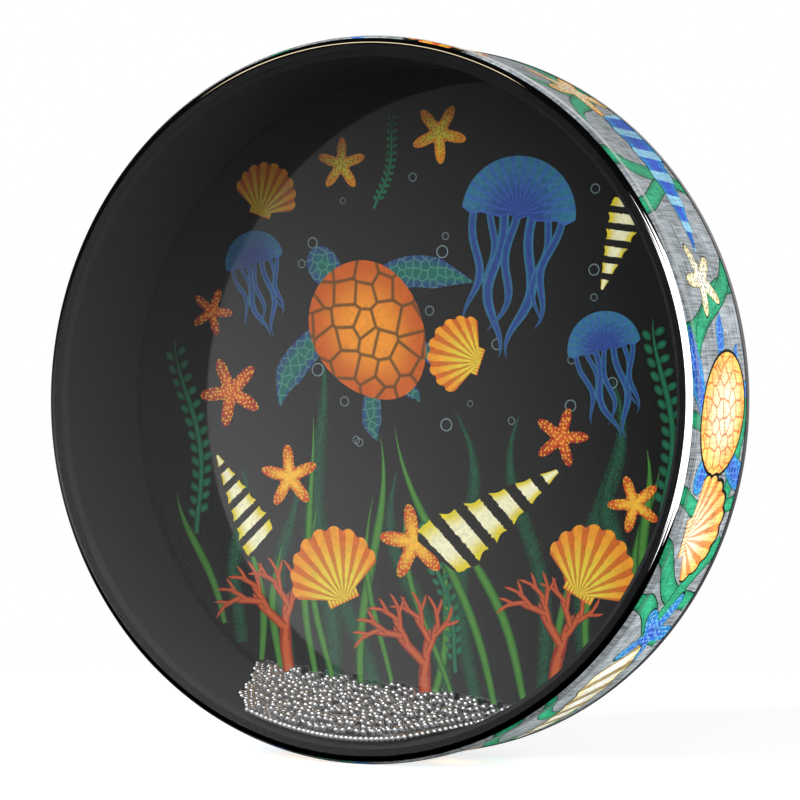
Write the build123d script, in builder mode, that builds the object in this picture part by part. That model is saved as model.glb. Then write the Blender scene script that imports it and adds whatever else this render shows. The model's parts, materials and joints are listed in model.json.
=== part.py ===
"""Ocean drum: a closed frame drum with a clear front head, a printed rear head and loose steel beads between them.

The drum stands upright on its rim. Its axis is Y, the clear head faces -Y, Z is up, and the origin is the centre
of the drum. All sizes are in millimetres.
"""

import math
import os

from build123d import *

# Overall drum
drum_diameter = 304.8
drum_depth = 63.5

# Shell of wound wood fibre
shell_wall = 8.2
shell_edge_round = 3.25
shell_inner_chamfer = 2.2

# Cloth wrap round the shell, its edges turned part of the way over the rounded edges
wrap_thickness = 0.4
wrap_turn = 48.0
wrap_seam_gap = 0.6

# Film heads and the adhesive under them
film_thickness = 0.25
bond_thickness = 0.4
skirt_depth = 6.3

# Steel beads, heaped on the inner wall: the heap deepens towards the rear and leans towards -X
bead_diameter = 3.175
bead_gap = 0.15
bead_wall_clearance = 0.35
bead_head_clearance = 0.35
bead_layers = 5
heap_depth = 12.4
heap_rise = 0.19
heap_lean = 7.0

# Radii, from the outside in
wrap_radius = drum_diameter / 2
film_radius = wrap_radius + film_thickness
shell_radius = wrap_radius - wrap_thickness
inner_radius = shell_radius - shell_wall
rim_radius = inner_radius + shell_inner_chamfer
bond_radius = shell_radius - shell_edge_round

# Distances from the middle of the drum towards either head
film_face = drum_depth / 2
film_seat = film_face - film_thickness
rim_face = film_seat - bond_thickness
round_start = rim_face - shell_edge_round
skirt_end = film_face - skirt_depth

# The film bends round the same centre as the shell's rounded edge, outside the thickness of the wrap
film_inner_bend = shell_edge_round + wrap_thickness
film_outer_bend = film_inner_bend + film_thickness

# Half sections are drawn with the radius along x and the distance from the middle of the drum along y
front_side = Plane(origin=(0, 0, 0), x_dir=(1, 0, 0), z_dir=(0, 0, -1))
rear_side = Plane(origin=(0, 0, 0), x_dir=(1, 0, 0), z_dir=(0, 0, 1))
seam_side = Plane(origin=(0, 0, 0), x_dir=(-1, 0, 0), z_dir=(0, 0, -1))


def save(part, name):
    """Label a finished piece and write its STEP file."""
    part.label = name
    export_step(part, f"parts/{name}.step")


def near(corners, radius, distance):
    """Pick the corner of a half section that lies at a given radius and distance from the middle."""
    return corners.sort_by_distance((radius, distance, 0))[0]


def film_head(side):
    """Flat film disc that bends over the rim into a short skirt on the wrap."""
    with BuildPart() as head:
        with BuildSketch(side):
            with BuildLine():
                Polyline(
                    (0, film_seat),
                    (wrap_radius, film_seat),
                    (wrap_radius, skirt_end),
                    (film_radius, skirt_end),
                    (film_radius, film_face),
                    (0, film_face),
                    close=True,
                )
            make_face()
            fillet(near(vertices(), wrap_radius, film_seat), film_inner_bend)
            fillet(near(vertices(), film_radius, film_face), film_outer_bend)
        revolve(axis=Axis.Y)
    return head.part


def bond_ring(side):
    """Flat washer of adhesive between the film and the level part of the shell's rim."""
    with BuildPart() as bond:
        with BuildSketch(side):
            with Locations(((rim_radius + bond_radius) / 2, (rim_face + film_seat) / 2)):
                Rectangle(bond_radius - rim_radius, bond_thickness)
        revolve(axis=Axis.Y)
    return bond.part


def heap_courses(depth):
    """Radius of each course of one layer and the angles of its beads, from the wall up to a straight top."""
    pitch = bead_diameter + bead_gap
    course_step = pitch * math.sqrt(3) / 2
    wall_course = inner_radius - bead_wall_clearance - bead_diameter / 2
    top_level = inner_radius - depth + bead_diameter / 2
    course_count = int((wall_course - top_level) / course_step) + 1
    radii = [wall_course - course * course_step for course in range(course_count)]
    angle_step = pitch / radii[-1]
    lean = math.radians(heap_lean)
    courses = []
    for course, radius in enumerate(radii):
        offset = course % 2 / 2
        half_count = int(math.acos(top_level / radius) / angle_step - offset)
        first = -half_count - offset
        courses.append((radius, [(first + bead) * angle_step - lean for bead in range(int(-2 * first) + 1)]))
    return courses


def bead_course(distance, radius, angles):
    """One course of separate beads at a given distance along the drum's axis."""
    with BuildPart() as course:
        with Locations(*[(radius * math.sin(a), distance, -radius * math.cos(a)) for a in angles]):
            Sphere(bead_diameter / 2)
    return course.part


os.makedirs("parts", exist_ok=True)

# Shell: a plain ring with rounded outer edges and a small chamfer inside each rim
with BuildPart() as shell:
    with BuildSketch(rear_side):
        with Locations(((inner_radius + shell_radius) / 2, 0)):
            Rectangle(shell_wall, 2 * rim_face)
        fillet(vertices().group_by(Axis.X)[-1], shell_edge_round)
        chamfer(vertices().group_by(Axis.X)[0], shell_inner_chamfer)
    revolve(axis=Axis.Y)
save(shell.part, "shell")

# Wrap: a strip of cloth once round the shell and over its edges, its ends a narrow gap apart at the seam
seam_angle = math.degrees(wrap_seam_gap / wrap_radius)
with BuildPart() as shell_wrap:
    with BuildSketch(seam_side):
        with BuildLine():
            side = Line((shell_radius, -round_start), (shell_radius, round_start))
            JernArc(side @ 1, side % 1, shell_edge_round, wrap_turn)
            JernArc(side @ 0, -(side % 0), shell_edge_round, -wrap_turn)
            offset(amount=wrap_thickness, side=Side.RIGHT)
        make_face()
    revolve(axis=Axis.Y, revolution_arc=360 - seam_angle)
save(shell_wrap.part, "shell_wrap")

save(bond_ring(front_side), "front_bond")
save(bond_ring(rear_side), "rear_bond")
save(film_head(front_side), "front_head")
save(film_head(rear_side), "rear_head")

# Beads: layers of the heap at even distances, the first behind the clear head and the last before the printed one
outer_layer = film_seat - bead_head_clearance - bead_diameter / 2
layer_step = 2 * outer_layer / (bead_layers - 1)
for layer in range(bead_layers):
    distance = layer * layer_step - outer_layer
    for course, (radius, angles) in enumerate(heap_courses(heap_depth + heap_rise * distance), start=1):
        save(bead_course(distance, radius, angles), f"beads_{layer + 1}_course_{course}")
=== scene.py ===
"""Looks of an ocean drum: clear film in front, printed black film behind, printed cloth and steel beads.

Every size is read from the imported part. Lengths are in metres, and the print is drawn in millimetres.
"""

import json
import logging
import math
import random
from dataclasses import dataclass
from enum import Enum
from typing import Callable, ClassVar

import bmesh
import bpy
import numpy as np
from mathutils import Matrix, Vector


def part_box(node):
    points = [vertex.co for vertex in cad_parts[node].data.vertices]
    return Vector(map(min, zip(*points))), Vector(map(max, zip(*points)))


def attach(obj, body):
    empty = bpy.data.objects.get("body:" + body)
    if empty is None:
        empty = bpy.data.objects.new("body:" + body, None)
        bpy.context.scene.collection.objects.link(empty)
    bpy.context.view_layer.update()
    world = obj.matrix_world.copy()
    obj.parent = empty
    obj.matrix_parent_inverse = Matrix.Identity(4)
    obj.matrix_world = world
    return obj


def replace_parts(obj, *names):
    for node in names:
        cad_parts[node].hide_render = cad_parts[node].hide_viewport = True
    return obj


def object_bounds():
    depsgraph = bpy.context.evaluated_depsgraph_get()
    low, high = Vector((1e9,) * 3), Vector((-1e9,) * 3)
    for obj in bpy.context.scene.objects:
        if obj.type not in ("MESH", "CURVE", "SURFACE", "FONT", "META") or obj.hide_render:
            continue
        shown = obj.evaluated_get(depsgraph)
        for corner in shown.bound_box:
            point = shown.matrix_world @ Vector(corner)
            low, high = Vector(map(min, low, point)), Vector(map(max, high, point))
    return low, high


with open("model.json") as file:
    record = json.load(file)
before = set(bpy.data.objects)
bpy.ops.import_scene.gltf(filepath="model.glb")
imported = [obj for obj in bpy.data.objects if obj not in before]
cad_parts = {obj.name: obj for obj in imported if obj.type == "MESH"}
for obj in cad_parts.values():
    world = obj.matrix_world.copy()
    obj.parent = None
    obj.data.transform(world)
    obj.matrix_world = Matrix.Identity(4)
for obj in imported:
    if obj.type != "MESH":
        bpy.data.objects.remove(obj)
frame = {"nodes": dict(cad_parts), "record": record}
CAD_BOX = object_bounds()
MM = 0.001
ORIGIN = (0.0, 0.0, 0.0)
WHITE = (1.0, 1.0, 1.0)
FINE_LINE = (0.004, 0.006, 0.006)

log = logging.getLogger("ocean_drum")

Colour = tuple[float, float, float]
Point = tuple[float, float]
Socket = bpy.types.NodeSocket
Value = float | tuple[float, ...] | Socket
Inputs = dict[str | int, Value]


class Body(Enum):
    """Bodies of the part that pieces ride on."""

    DRUM = "drum"
    BEADS_1 = "beads_1"
    BEADS_2 = "beads_2"
    BEADS_3 = "beads_3"
    BEADS_4 = "beads_4"
    BEADS_5 = "beads_5"


class Side(Enum):
    """The drum's two faces, as the sign of Y."""

    FRONT = -1
    REAR = 1


class Slot(Enum):
    """Material slots of the record."""

    SHELL = "shell_fibre"
    WRAP = "wrap_cloth"
    BOND = "bond"
    CLEAR = "clear_film"
    PRINT = "printed_film"
    STEEL = "bead_steel"


@dataclass(frozen=True)
class DrumSizes:
    """Radii and distances of the drum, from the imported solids."""

    film_radius: float
    film_face: float
    film_seat: float
    skirt_end: float
    wrap_radius: float
    wrap_edge: float
    shell_radius: float
    inner_radius: float
    rim_face: float
    rim_radius: float
    bond_radius: float
    bead_radius: float

    @classmethod
    def from_frame(cls) -> "DrumSizes":
        """Read the sizes.

        Returns:
            The drum's sizes in metres.
        """
        head_low, head_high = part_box("front_head")
        wrap_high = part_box("shell_wrap")[1]
        shell_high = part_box("shell")[1]
        bond_low, bond_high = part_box("front_bond")
        bead_low, bead_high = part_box("beads_1_course_1")
        return cls(
            film_radius=head_high.x,
            film_face=-head_low.y,
            film_seat=-bond_low.y,
            skirt_end=-head_high.y,
            wrap_radius=wrap_high.x,
            wrap_edge=wrap_high.y,
            shell_radius=shell_high.x,
            inner_radius=least_radius("shell"),
            rim_face=shell_high.y,
            rim_radius=least_radius("front_bond"),
            bond_radius=bond_high.x,
            bead_radius=(bead_high.y - bead_low.y) / 2,
        )

    @property
    def edge_round(self) -> float:
        """Radius of the shell's rounded edges."""
        return self.shell_radius - self.bond_radius

    @property
    def round_start(self) -> float:
        """Distance from the middle at which the edges start to round."""
        return self.rim_face - self.edge_round

    @property
    def wrap_turn(self) -> float:
        """Angle by which the cloth turns over the rounded edges, in radians."""
        return math.asin((self.wrap_edge - self.round_start) / (self.wrap_radius - self.bond_radius))

    def bend_line(self, radius: float, start: float, end: float, steps: int = 8) -> list[Point]:
        """Points on a bend round the shell's edge.

        Args:
            radius: Radius of the bend.
            start: First angle from the side of the drum, in radians.
            end: Last angle.
            steps: Steps between them.

        Returns:
            Radius and distance from the middle of each point.
        """
        line = []
        for step in range(steps + 1):
            angle = start + (end - start) * step / steps
            out, along = radius * math.cos(angle), radius * math.sin(angle)
            line.append((self.bond_radius + out, self.round_start + along))
        return line


def least_radius(node: str) -> float:
    """Smallest distance of a ring's CAD node from the drum's axis."""
    return min(math.hypot(v.co.x, v.co.z) for v in frame["nodes"][node].data.vertices)


# Shader building


def opaque(colour: Value) -> Value:
    """A plain colour with full alpha, or a socket as it is."""
    return (*colour, 1.0) if isinstance(colour, tuple) else colour


class Nodes:
    """Adds nodes to one material, group or world and joins their sockets."""

    def __init__(self, tree: bpy.types.NodeTree) -> None:
        """Start on a node tree."""
        self.tree = tree

    def fill(self, node: bpy.types.Node, values: Inputs) -> bpy.types.Node:
        """Link or set some inputs of a node.

        Args:
            node: Node that takes the values.
            values: Sockets, numbers or tuples by the input's name or number.

        Returns:
            The node.
        """
        for key, value in values.items():
            if isinstance(value, Socket):
                self.tree.links.new(value, node.inputs[key])
            else:
                node.inputs[key].default_value = value
        return node

    def add(self, kind: str, values: Inputs | None = None, **settings: object) -> bpy.types.Node:
        """Add one node.

        Args:
            kind: Node type without its ShaderNode prefix.
            values: Inputs by name or number.
            **settings: Properties of the node.

        Returns:
            The new node.
        """
        node = self.tree.nodes.new(f"ShaderNode{kind}")
        for name, setting in settings.items():
            setattr(node, name, setting)
        return self.fill(node, values or {})

    def out(self, kind: str, values: Inputs | None = None, **settings: object) -> Socket:
        """First output of a new node, made as add makes it."""
        return self.add(kind, values, **settings).outputs[0]

    def maths(self, operation: str, *terms: Value) -> Socket:
        """Result of one Math node."""
        return self.out("Math", dict(enumerate(terms)), operation=operation)

    def times(self, *factors: Value) -> Socket:
        """Product of two values."""
        return self.maths("MULTIPLY", *factors)

    def mix(self, share: Value, a: Value, b: Value, blend: str = "MIX") -> Socket:
        """Two colours mixed by the share of the second."""
        node = self.add("Mix", data_type="RGBA", blend_type=blend)
        return self.fill(node, {0: share, 6: opaque(a), 7: opaque(b)}).outputs[2]

    def tinted(self, colour: Value, tone: Socket) -> Socket:
        """A colour times a grey tone."""
        grey = self.out("CombineColor", {0: tone, 1: tone, 2: tone})
        return self.mix(1.0, colour, grey, "MULTIPLY")

    def ramp(
        self, value: Value, low: float, high: float, start: float = 0.0, end: float = 1.0,
        kind: str = "SMOOTHSTEP",
    ) -> Socket:
        """A value mapped from the range low to high to the range start to end."""
        values = {"Value": value, "From Min": low, "From Max": high, "To Min": start, "To Max": end}
        return self.out("MapRange", values, interpolation_type=kind)


def new_group(name: str, inputs: Inputs, outputs: dict[str, str]) -> tuple[Nodes, dict, bpy.types.Node]:
    """Start a shader node group.

    Args:
        name: Name of the group.
        inputs: Default value of each input, which also gives its type.
        outputs: Socket type of each output.

    Returns:
        The group's node builder, its input sockets by name, and its output node.
    """
    kinds = {1: "NodeSocketFloat", 3: "NodeSocketVector", 4: "NodeSocketColor"}
    tree = bpy.data.node_groups.new(name, "ShaderNodeTree")
    for label, value in inputs.items():
        kind = kinds[len(value) if isinstance(value, tuple) else 1]
        tree.interface.new_socket(label, in_out="INPUT", socket_type=kind).default_value = value
    for label, kind in outputs.items():
        tree.interface.new_socket(label, in_out="OUTPUT", socket_type=kind)
    source = tree.nodes.new("NodeGroupInput")
    sink = tree.nodes.new("NodeGroupOutput")
    return Nodes(tree), {label: source.outputs[label] for label in inputs}, sink


def speckle_group() -> bpy.types.NodeTree:
    """Fine grain of a coated surface.

    Returns:
        A group that puts out a tone round one.
    """
    cloud_size = 0.02
    inputs = {"Vector": ORIGIN, "Scale": 900.0, "Depth": 0.2}
    nodes, given, out = new_group("fine_speckle", inputs, {"Tone": "NodeSocketFloat"})
    place, scale = given["Vector"], given["Scale"]
    grain = nodes.out("TexNoise", {"Vector": place, "Scale": scale, "Detail": 2.0})
    cloud = nodes.out("TexNoise", {"Vector": place, "Scale": nodes.times(scale, cloud_size), "Detail": 3.0})
    spread = nodes.maths("SUBTRACT", nodes.maths("ADD", grain, cloud), 1.0)
    nodes.fill(out, {"Tone": nodes.maths("MULTIPLY_ADD", spread, given["Depth"], 1.0)})
    return nodes.tree


def weave_group() -> bpy.types.NodeTree:
    """Linen weave with slubs along both threads.

    Returns:
        A group that puts out a tone round one and the height of the threads.
    """
    warp, weft = (0.045, 1.0, 1.0), (1.0, 0.07, 1.0)
    cloud_size, cloud_share, mean = 0.035, 0.6, 1.3
    inputs = {"Vector": ORIGIN, "Threads": 1100.0, "Slub": 0.5}
    outputs = {"Tone": "NodeSocketFloat", "Height": "NodeSocketFloat"}
    nodes, given, out = new_group("linen_weave", inputs, outputs)
    place = nodes.out("VectorMath", {0: given["Vector"], "Scale": given["Threads"]}, operation="SCALE")
    streaks = []
    for stretch in (warp, weft):
        along = nodes.out("VectorMath", {0: place, 1: stretch}, operation="MULTIPLY")
        streaks.append(nodes.out("TexNoise", {"Vector": along, "Scale": 1.0, "Detail": 2.0}))
    cloud = nodes.out("TexNoise", {"Vector": place, "Scale": cloud_size, "Detail": 2.0})
    threads = nodes.maths("ADD", *streaks)
    spread = nodes.maths("SUBTRACT", nodes.maths("MULTIPLY_ADD", cloud, cloud_share, threads), mean)
    tone = nodes.maths("MULTIPLY_ADD", spread, given["Slub"], 1.0)
    nodes.fill(out, {"Tone": tone, "Height": threads})
    return nodes.tree


def ink_group() -> bpy.types.NodeTree:
    """Brushed ink of one printed shape, from its middle to its edge.

    Returns:
        A group that puts out the ink's colour.
    """
    hair_stretch, hair_scale, daub_scale, cell_order = 5.0, 9.0, 420.0, 0.8
    black = opaque(ORIGIN)
    inputs = {
        "Core": black, "Rim": black, "Accent": black, "Outline": opaque(FINE_LINE),
        "Along": 0.0, "Edge": 0.0, "Vector": ORIGIN,
        "Bands": 6.0, "Band share": 0.0, "Band width": 0.5,
        "Cells": 200.0, "Cell share": 0.0, "Dots": 500.0, "Dot share": 0.0,
        "Mottle": 0.4, "Line width": 0.1,
    }
    nodes, given, out = new_group("brushed_ink", inputs, {"Color": "NodeSocketColor"})
    hair = nodes.out("CombineXYZ", {0: nodes.times(given["Along"], hair_stretch), 1: given["Edge"]})
    streak = nodes.out("TexNoise", {"Vector": hair, "Scale": hair_scale, "Detail": 3.0})
    daub = nodes.out("TexNoise", {"Vector": given["Vector"], "Scale": daub_scale, "Detail": 4.0})
    mean = nodes.maths("MULTIPLY_ADD", streak, 0.5, nodes.times(daub, 0.5))
    wobble = nodes.maths("SUBTRACT", mean, 0.5)
    edge = nodes.maths("MULTIPLY_ADD", wobble, 0.5, given["Edge"])
    colour = nodes.mix(nodes.ramp(edge, 0.25, 0.95), given["Core"], given["Rim"])
    turns = nodes.times(given["Along"], given["Bands"])
    wave = nodes.maths("PINGPONG", nodes.maths("MULTIPLY_ADD", wobble, 0.25, turns), 0.5)
    band = nodes.maths("LESS_THAN", wave, nodes.times(given["Band width"], 0.5))
    flat = {"Vector": given["Vector"], "Randomness": cell_order}
    cells = nodes.out(
        "TexVoronoi", flat | {"Scale": given["Cells"]}, voronoi_dimensions="2D", feature="DISTANCE_TO_EDGE",
    )
    dots = nodes.out("TexVoronoi", flat | {"Scale": given["Dots"]}, voronoi_dimensions="2D")
    seams, spots = nodes.ramp(cells, 0.03, 0.11, 1.0, 0.0), nodes.ramp(dots, 0.20, 0.34, 1.0, 0.0)
    for mark, share in ((band, "Band share"), (seams, "Cell share"), (spots, "Dot share")):
        colour = nodes.mix(nodes.times(mark, given[share]), colour, given["Accent"])
    tone = nodes.maths("MULTIPLY_ADD", wobble, nodes.times(given["Mottle"], 3.0), 1.0)
    border = nodes.maths("SUBTRACT", 1.0, given["Line width"])
    outline = nodes.maths("GREATER_THAN", given["Edge"], border)
    nodes.fill(out, {"Color": nodes.mix(outline, nodes.tinted(colour, tone), given["Outline"])})
    return nodes.tree


@dataclass(frozen=True)
class Effects:
    """Shader groups that several finishes share."""

    speckle: bpy.types.NodeTree
    weave: bpy.types.NodeTree
    ink: bpy.types.NodeTree

    @classmethod
    def build(cls) -> "Effects":
        """Build the groups once."""
        return cls(speckle_group(), weave_group(), ink_group())


def new_material(name: str, plain: Inputs) -> tuple[bpy.types.Material, Nodes, bpy.types.Node]:
    """Start a node material.

    Args:
        name: Name of the material.
        plain: Inputs of its Principled BSDF that are the same all over.

    Returns:
        The material, its node builder and its Principled BSDF.
    """
    material = bpy.data.materials.new(name)
    material.use_nodes = True
    nodes = Nodes(material.node_tree)
    return material, nodes, nodes.fill(material.node_tree.nodes["Principled BSDF"], plain)


@dataclass(frozen=True)
class Lacquer:
    """A coated opaque surface with a fine grain."""

    name: str
    colour: Colour
    roughness: float
    grain_scale: float = 900.0
    grain_depth: float = 0.2
    ior: float = 1.5

    def material(self, effects: Effects) -> bpy.types.Material:
        """Build the material.

        Args:
            effects: Shared shader groups.

        Returns:
            The material.
        """
        material, nodes, shader = new_material(self.name, {"Roughness": self.roughness, "IOR": self.ior})
        place = nodes.add("TexCoord").outputs["Object"]
        values = {"Vector": place, "Scale": self.grain_scale, "Depth": self.grain_depth}
        tone = nodes.out("Group", values, node_tree=effects.speckle)
        nodes.fill(shader, {"Base Color": nodes.tinted(self.colour, tone)})
        return material


@dataclass(frozen=True)
class ClearFilm:
    """Clear film that lets the lamps through to what it covers."""

    name: str = "clear_film"
    ior: float = 1.3

    def material(self) -> bpy.types.Material:
        """Build the material.

        Returns:
            The material.
        """
        plain = {"Base Color": opaque(WHITE), "Roughness": 0.0, "Transmission Weight": 1.0, "IOR": self.ior}
        material, nodes, shader = new_material(self.name, plain)
        lamp_ray = nodes.add("LightPath").outputs["Is Shadow Ray"]
        through = nodes.out("BsdfTransparent")
        both = nodes.out("MixShader", {0: lamp_ray, 1: shader.outputs[0], 2: through})
        nodes.fill(nodes.tree.nodes["Material Output"], {"Surface": both})
        return material


@dataclass(frozen=True)
class Steel:
    """Polished steel."""

    name: str = "bead_steel"
    colour: Colour = (0.66, 0.66, 0.67)
    roughness: float = 0.24

    def material(self) -> bpy.types.Material:
        """Build the material."""
        plain = {"Base Color": opaque(self.colour), "Metallic": 1.0, "Roughness": self.roughness}
        return new_material(self.name, plain)[0]


def weave_in(
    nodes: Nodes, shader: bpy.types.Node, effects: Effects, colour: Value, slub: float, relief: float,
) -> None:
    """Show a colour on woven threads, which follow the cloth's own map in metres.

    Args:
        nodes: Node builder of the material.
        shader: Its Principled BSDF.
        effects: Shared shader groups.
        colour: Colour of the cloth or of the ink on it.
        slub: How far the tone varies.
        relief: How far the threads stand out.
    """
    thread_height = 0.1 * MM
    values = {"Vector": nodes.out("UVMap", uv_map="cloth"), "Slub": slub}
    weave = nodes.add("Group", values, node_tree=effects.weave)
    height = {"Height": weave.outputs["Height"], "Strength": relief, "Distance": thread_height}
    tone = nodes.tinted(colour, weave.outputs["Tone"])
    nodes.fill(shader, {"Base Color": tone, "Normal": nodes.out("Bump", height)})


@dataclass(frozen=True)
class Linen:
    """Grey linen cloth."""

    name: str = "wrap_linen"
    colour: Colour = (0.29, 0.32, 0.34)
    roughness: float = 0.42
    slub: float = 2.5
    relief: float = 0.25
    ior: float = 1.2

    def material(self, effects: Effects) -> bpy.types.Material:
        """Build the material.

        Args:
            effects: Shared shader groups.

        Returns:
            The material.
        """
        material, nodes, shader = new_material(self.name, {"Roughness": self.roughness, "IOR": self.ior})
        weave_in(nodes, shader, effects, self.colour, self.slub, self.relief)
        return material


@dataclass(frozen=True)
class InkFinish:
    """Printed ink whose colours come with each shape."""

    name: str
    bands: float = 6.0
    band_share: float = 0.0
    band_width: float = 0.5
    cells: float = 200.0
    cell_share: float = 0.0
    dots: float = 500.0
    dot_share: float = 0.0
    mottle: float = 0.35
    line_width: float = 0.0
    outline: Colour = FINE_LINE
    roughness: float = 0.08
    ior: float = 1.8
    slub: float = 0.0
    relief: float = 0.2
    pattern: ClassVar[tuple[str, ...]] = (
        "bands", "band_share", "band_width", "cells", "cell_share", "dots", "dot_share", "mottle",
        "line_width",
    )

    def material(self, effects: Effects) -> bpy.types.Material:
        """Build the material.

        Args:
            effects: Shared shader groups.

        Returns:
            The material.
        """
        material, nodes, shader = new_material(self.name, {"Roughness": self.roughness, "IOR": self.ior})
        along, edge, _ = nodes.add("SeparateXYZ", {0: nodes.out("UVMap", uv_map="ink")}).outputs
        place = nodes.out("UVMap", uv_map="cloth")
        values: Inputs = {"Along": along, "Edge": edge, "Vector": place, "Outline": opaque(self.outline)}
        for label in self.pattern:
            values[label.capitalize().replace("_", " ")] = getattr(self, label)
        for label in ("core", "rim", "accent"):
            values[label.capitalize()] = nodes.out("Attribute", attribute_name=label)
        colour = nodes.out("Group", values, node_tree=effects.ink)
        if self.slub:
            weave_in(nodes, shader, effects, colour, self.slub, self.relief)
        else:
            nodes.fill(shader, {"Base Color": colour})
        return material


# Mesh building


def finish_piece(
    name: str, bm: bmesh.types.BMesh, materials: list[bpy.types.Material], body: Body,
) -> bpy.types.Object:
    """Turn a bmesh into a piece of the drum.

    Args:
        name: Name of the piece.
        bm: Finished mesh, freed here.
        materials: Materials in slot order.
        body: Body that the piece rides on.

    Returns:
        The piece.
    """
    sharp_angle = math.radians(35)
    for edge in bm.edges:
        edge.smooth = len(edge.link_faces) != 2 or edge.calc_face_angle(0.0) < sharp_angle
    for face in bm.faces:
        face.smooth = True
    mesh = new_mesh(name, bm)
    for material in materials:
        mesh.materials.append(material)
    piece = bpy.data.objects.new(name, mesh)
    bpy.context.scene.collection.objects.link(piece)
    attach(piece, body.value)
    log.info("%s: %d faces on %s", name, len(mesh.polygons), body.value)
    return piece


def new_mesh(name: str, bm: bmesh.types.BMesh) -> bpy.types.Mesh:
    """Turn a bmesh into a mesh.

    Args:
        name: Name of the mesh.
        bm: Finished bmesh, freed here.

    Returns:
        The mesh.
    """
    mesh = bpy.data.meshes.new(name)
    bm.to_mesh(mesh)
    bm.free()
    return mesh


def turned(section: list[Point], rounds: dict[int, float], steps: int = 256) -> bmesh.types.BMesh:
    """Turn a closed half section once round the drum's axis.

    Args:
        section: Corners as radius and Y.
        rounds: Fillet radius by corner number.
        steps: Steps round the circle.

    Returns:
        The closed mesh.
    """
    round_segments = 10
    same_place = 0.001 * MM
    bm = bmesh.new()
    corners = [bm.verts.new((radius, y, 0.0)) for radius, y in section]
    bm.faces.new(corners)
    for number, radius in rounds.items():
        bmesh.ops.bevel(
            bm, geom=[corners[number]], offset=radius, offset_type="OFFSET", affect="VERTICES",
            segments=round_segments, profile=0.5, material=-1,
        )
    bmesh.ops.delete(bm, geom=bm.faces[:], context="FACES_ONLY")
    outline = bm.verts[:] + bm.edges[:]
    bmesh.ops.spin(
        bm, geom=outline, cent=ORIGIN, axis=(0, 1, 0), angle=math.tau, steps=steps, use_merge=True,
    )
    bmesh.ops.remove_doubles(bm, verts=bm.verts[:], dist=same_place)
    bmesh.ops.recalc_face_normals(bm, faces=bm.faces[:])
    return bm


@dataclass
class Shell:
    """Fibre ring and the lacquer on it."""

    sizes: DrumSizes
    effects: Effects
    wall: Lacquer = Lacquer(
        "shell_charcoal", (0.0145, 0.0162, 0.0188), 0.6, grain_scale=260.0, grain_depth=0.12, ior=1.35,
    )
    edge: Lacquer = Lacquer("shell_edge_black", (0.006, 0.006, 0.007), 0.3)

    def build(self) -> bpy.types.Object:
        """Build the ring with its rounded black edges.

        Returns:
            The shell piece.
        """
        s = self.sizes
        chamfer = s.rim_radius - s.inner_radius
        half = [
            (s.inner_radius, s.rim_face - chamfer), (s.rim_radius, s.rim_face), (s.shell_radius, s.rim_face),
        ]
        section = [(radius, -y) for radius, y in half] + half[::-1]
        bm = turned(section, {2: s.edge_round, 3: s.edge_round})
        for face in bm.faces:
            place = face.calc_center_median()
            on_rim = math.hypot(place.x, place.z) > s.rim_radius
            face.material_index = int(on_rim and abs(place.y) > s.round_start)
        finishes = [self.wall.material(self.effects), self.edge.material(self.effects)]
        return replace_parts(finish_piece("shell_ring", bm, finishes, Body.DRUM), "shell")


@dataclass
class Head:
    """One film head and the line of adhesive under it."""

    sizes: DrumSizes
    side: Side
    film: bpy.types.Material
    bonded: bpy.types.Material
    adhesive: bpy.types.Material
    slot: Slot
    film_gap: float = 0.02 * MM
    film_steps: int = 320

    def ring(self, line: list[Point], **options: int) -> bmesh.types.BMesh:
        """Turn a half section on this head's side of the drum."""
        return turned([(radius, self.side.value * y) for radius, y in line], {}, **options)

    def build(self) -> bpy.types.Object:
        """Build the film's flat face, its skirt over the cloth, the bend between them, and the adhesive.

        Returns:
            The bend.
        """
        s, word = self.sizes, self.side.name.lower()
        inner, outer = s.wrap_radius - s.bond_radius, s.film_radius - s.bond_radius
        lip, face = s.wrap_turn + self.film_gap / s.edge_round, math.pi / 2
        flat = [(0.0, s.film_seat), (s.bond_radius, s.film_seat)]
        disc = flat + [(s.bond_radius, s.film_face), (0.0, s.film_face)]
        skirt = s.bend_line(inner, lip, 0.0) + [(s.wrap_radius, s.skirt_end), (s.film_radius, s.skirt_end)]
        skirt += s.bend_line(outer, 0.0, lip)
        bend = s.bend_line(inner, face, lip) + s.bend_line(outer, lip, face)
        for name, line, look in (
            (f"{word}_film", disc, self.film),
            (f"{word}_film_skirt", skirt, self.film),
            (f"{word}_film_bend", bend, self.bonded),
        ):
            film = finish_piece(name, self.ring(line, steps=self.film_steps), [look], Body.DRUM)
            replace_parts(film, f"{word}_head")
        line = [(s.rim_radius, s.film_seat - self.film_gap), (s.rim_radius, s.rim_face)]
        line += s.bend_line(s.edge_round, face, lip) + s.bend_line(inner - self.film_gap, lip, face)
        bond = finish_piece(f"{word}_bond_line", self.ring(line), [self.adhesive], Body.DRUM)
        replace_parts(bond, f"{word}_bond")
        return film


# Print: shapes drawn flat in millimetres and laid on a ground


def map_cloth(bm: bmesh.types.BMesh) -> None:
    """Keep the flat places of a drawing as its cloth map.

    Args:
        bm: Flat mesh.
    """
    cloth_map = bm.loops.layers.uv.new("cloth")
    for face in bm.faces:
        for loop in face.loops:
            loop[cloth_map].uv = loop.vert.co.xy


@dataclass(frozen=True)
class Ink:
    """Colours of one printed shape."""

    core: Colour
    rim: Colour
    accent: Colour = ORIGIN


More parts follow.
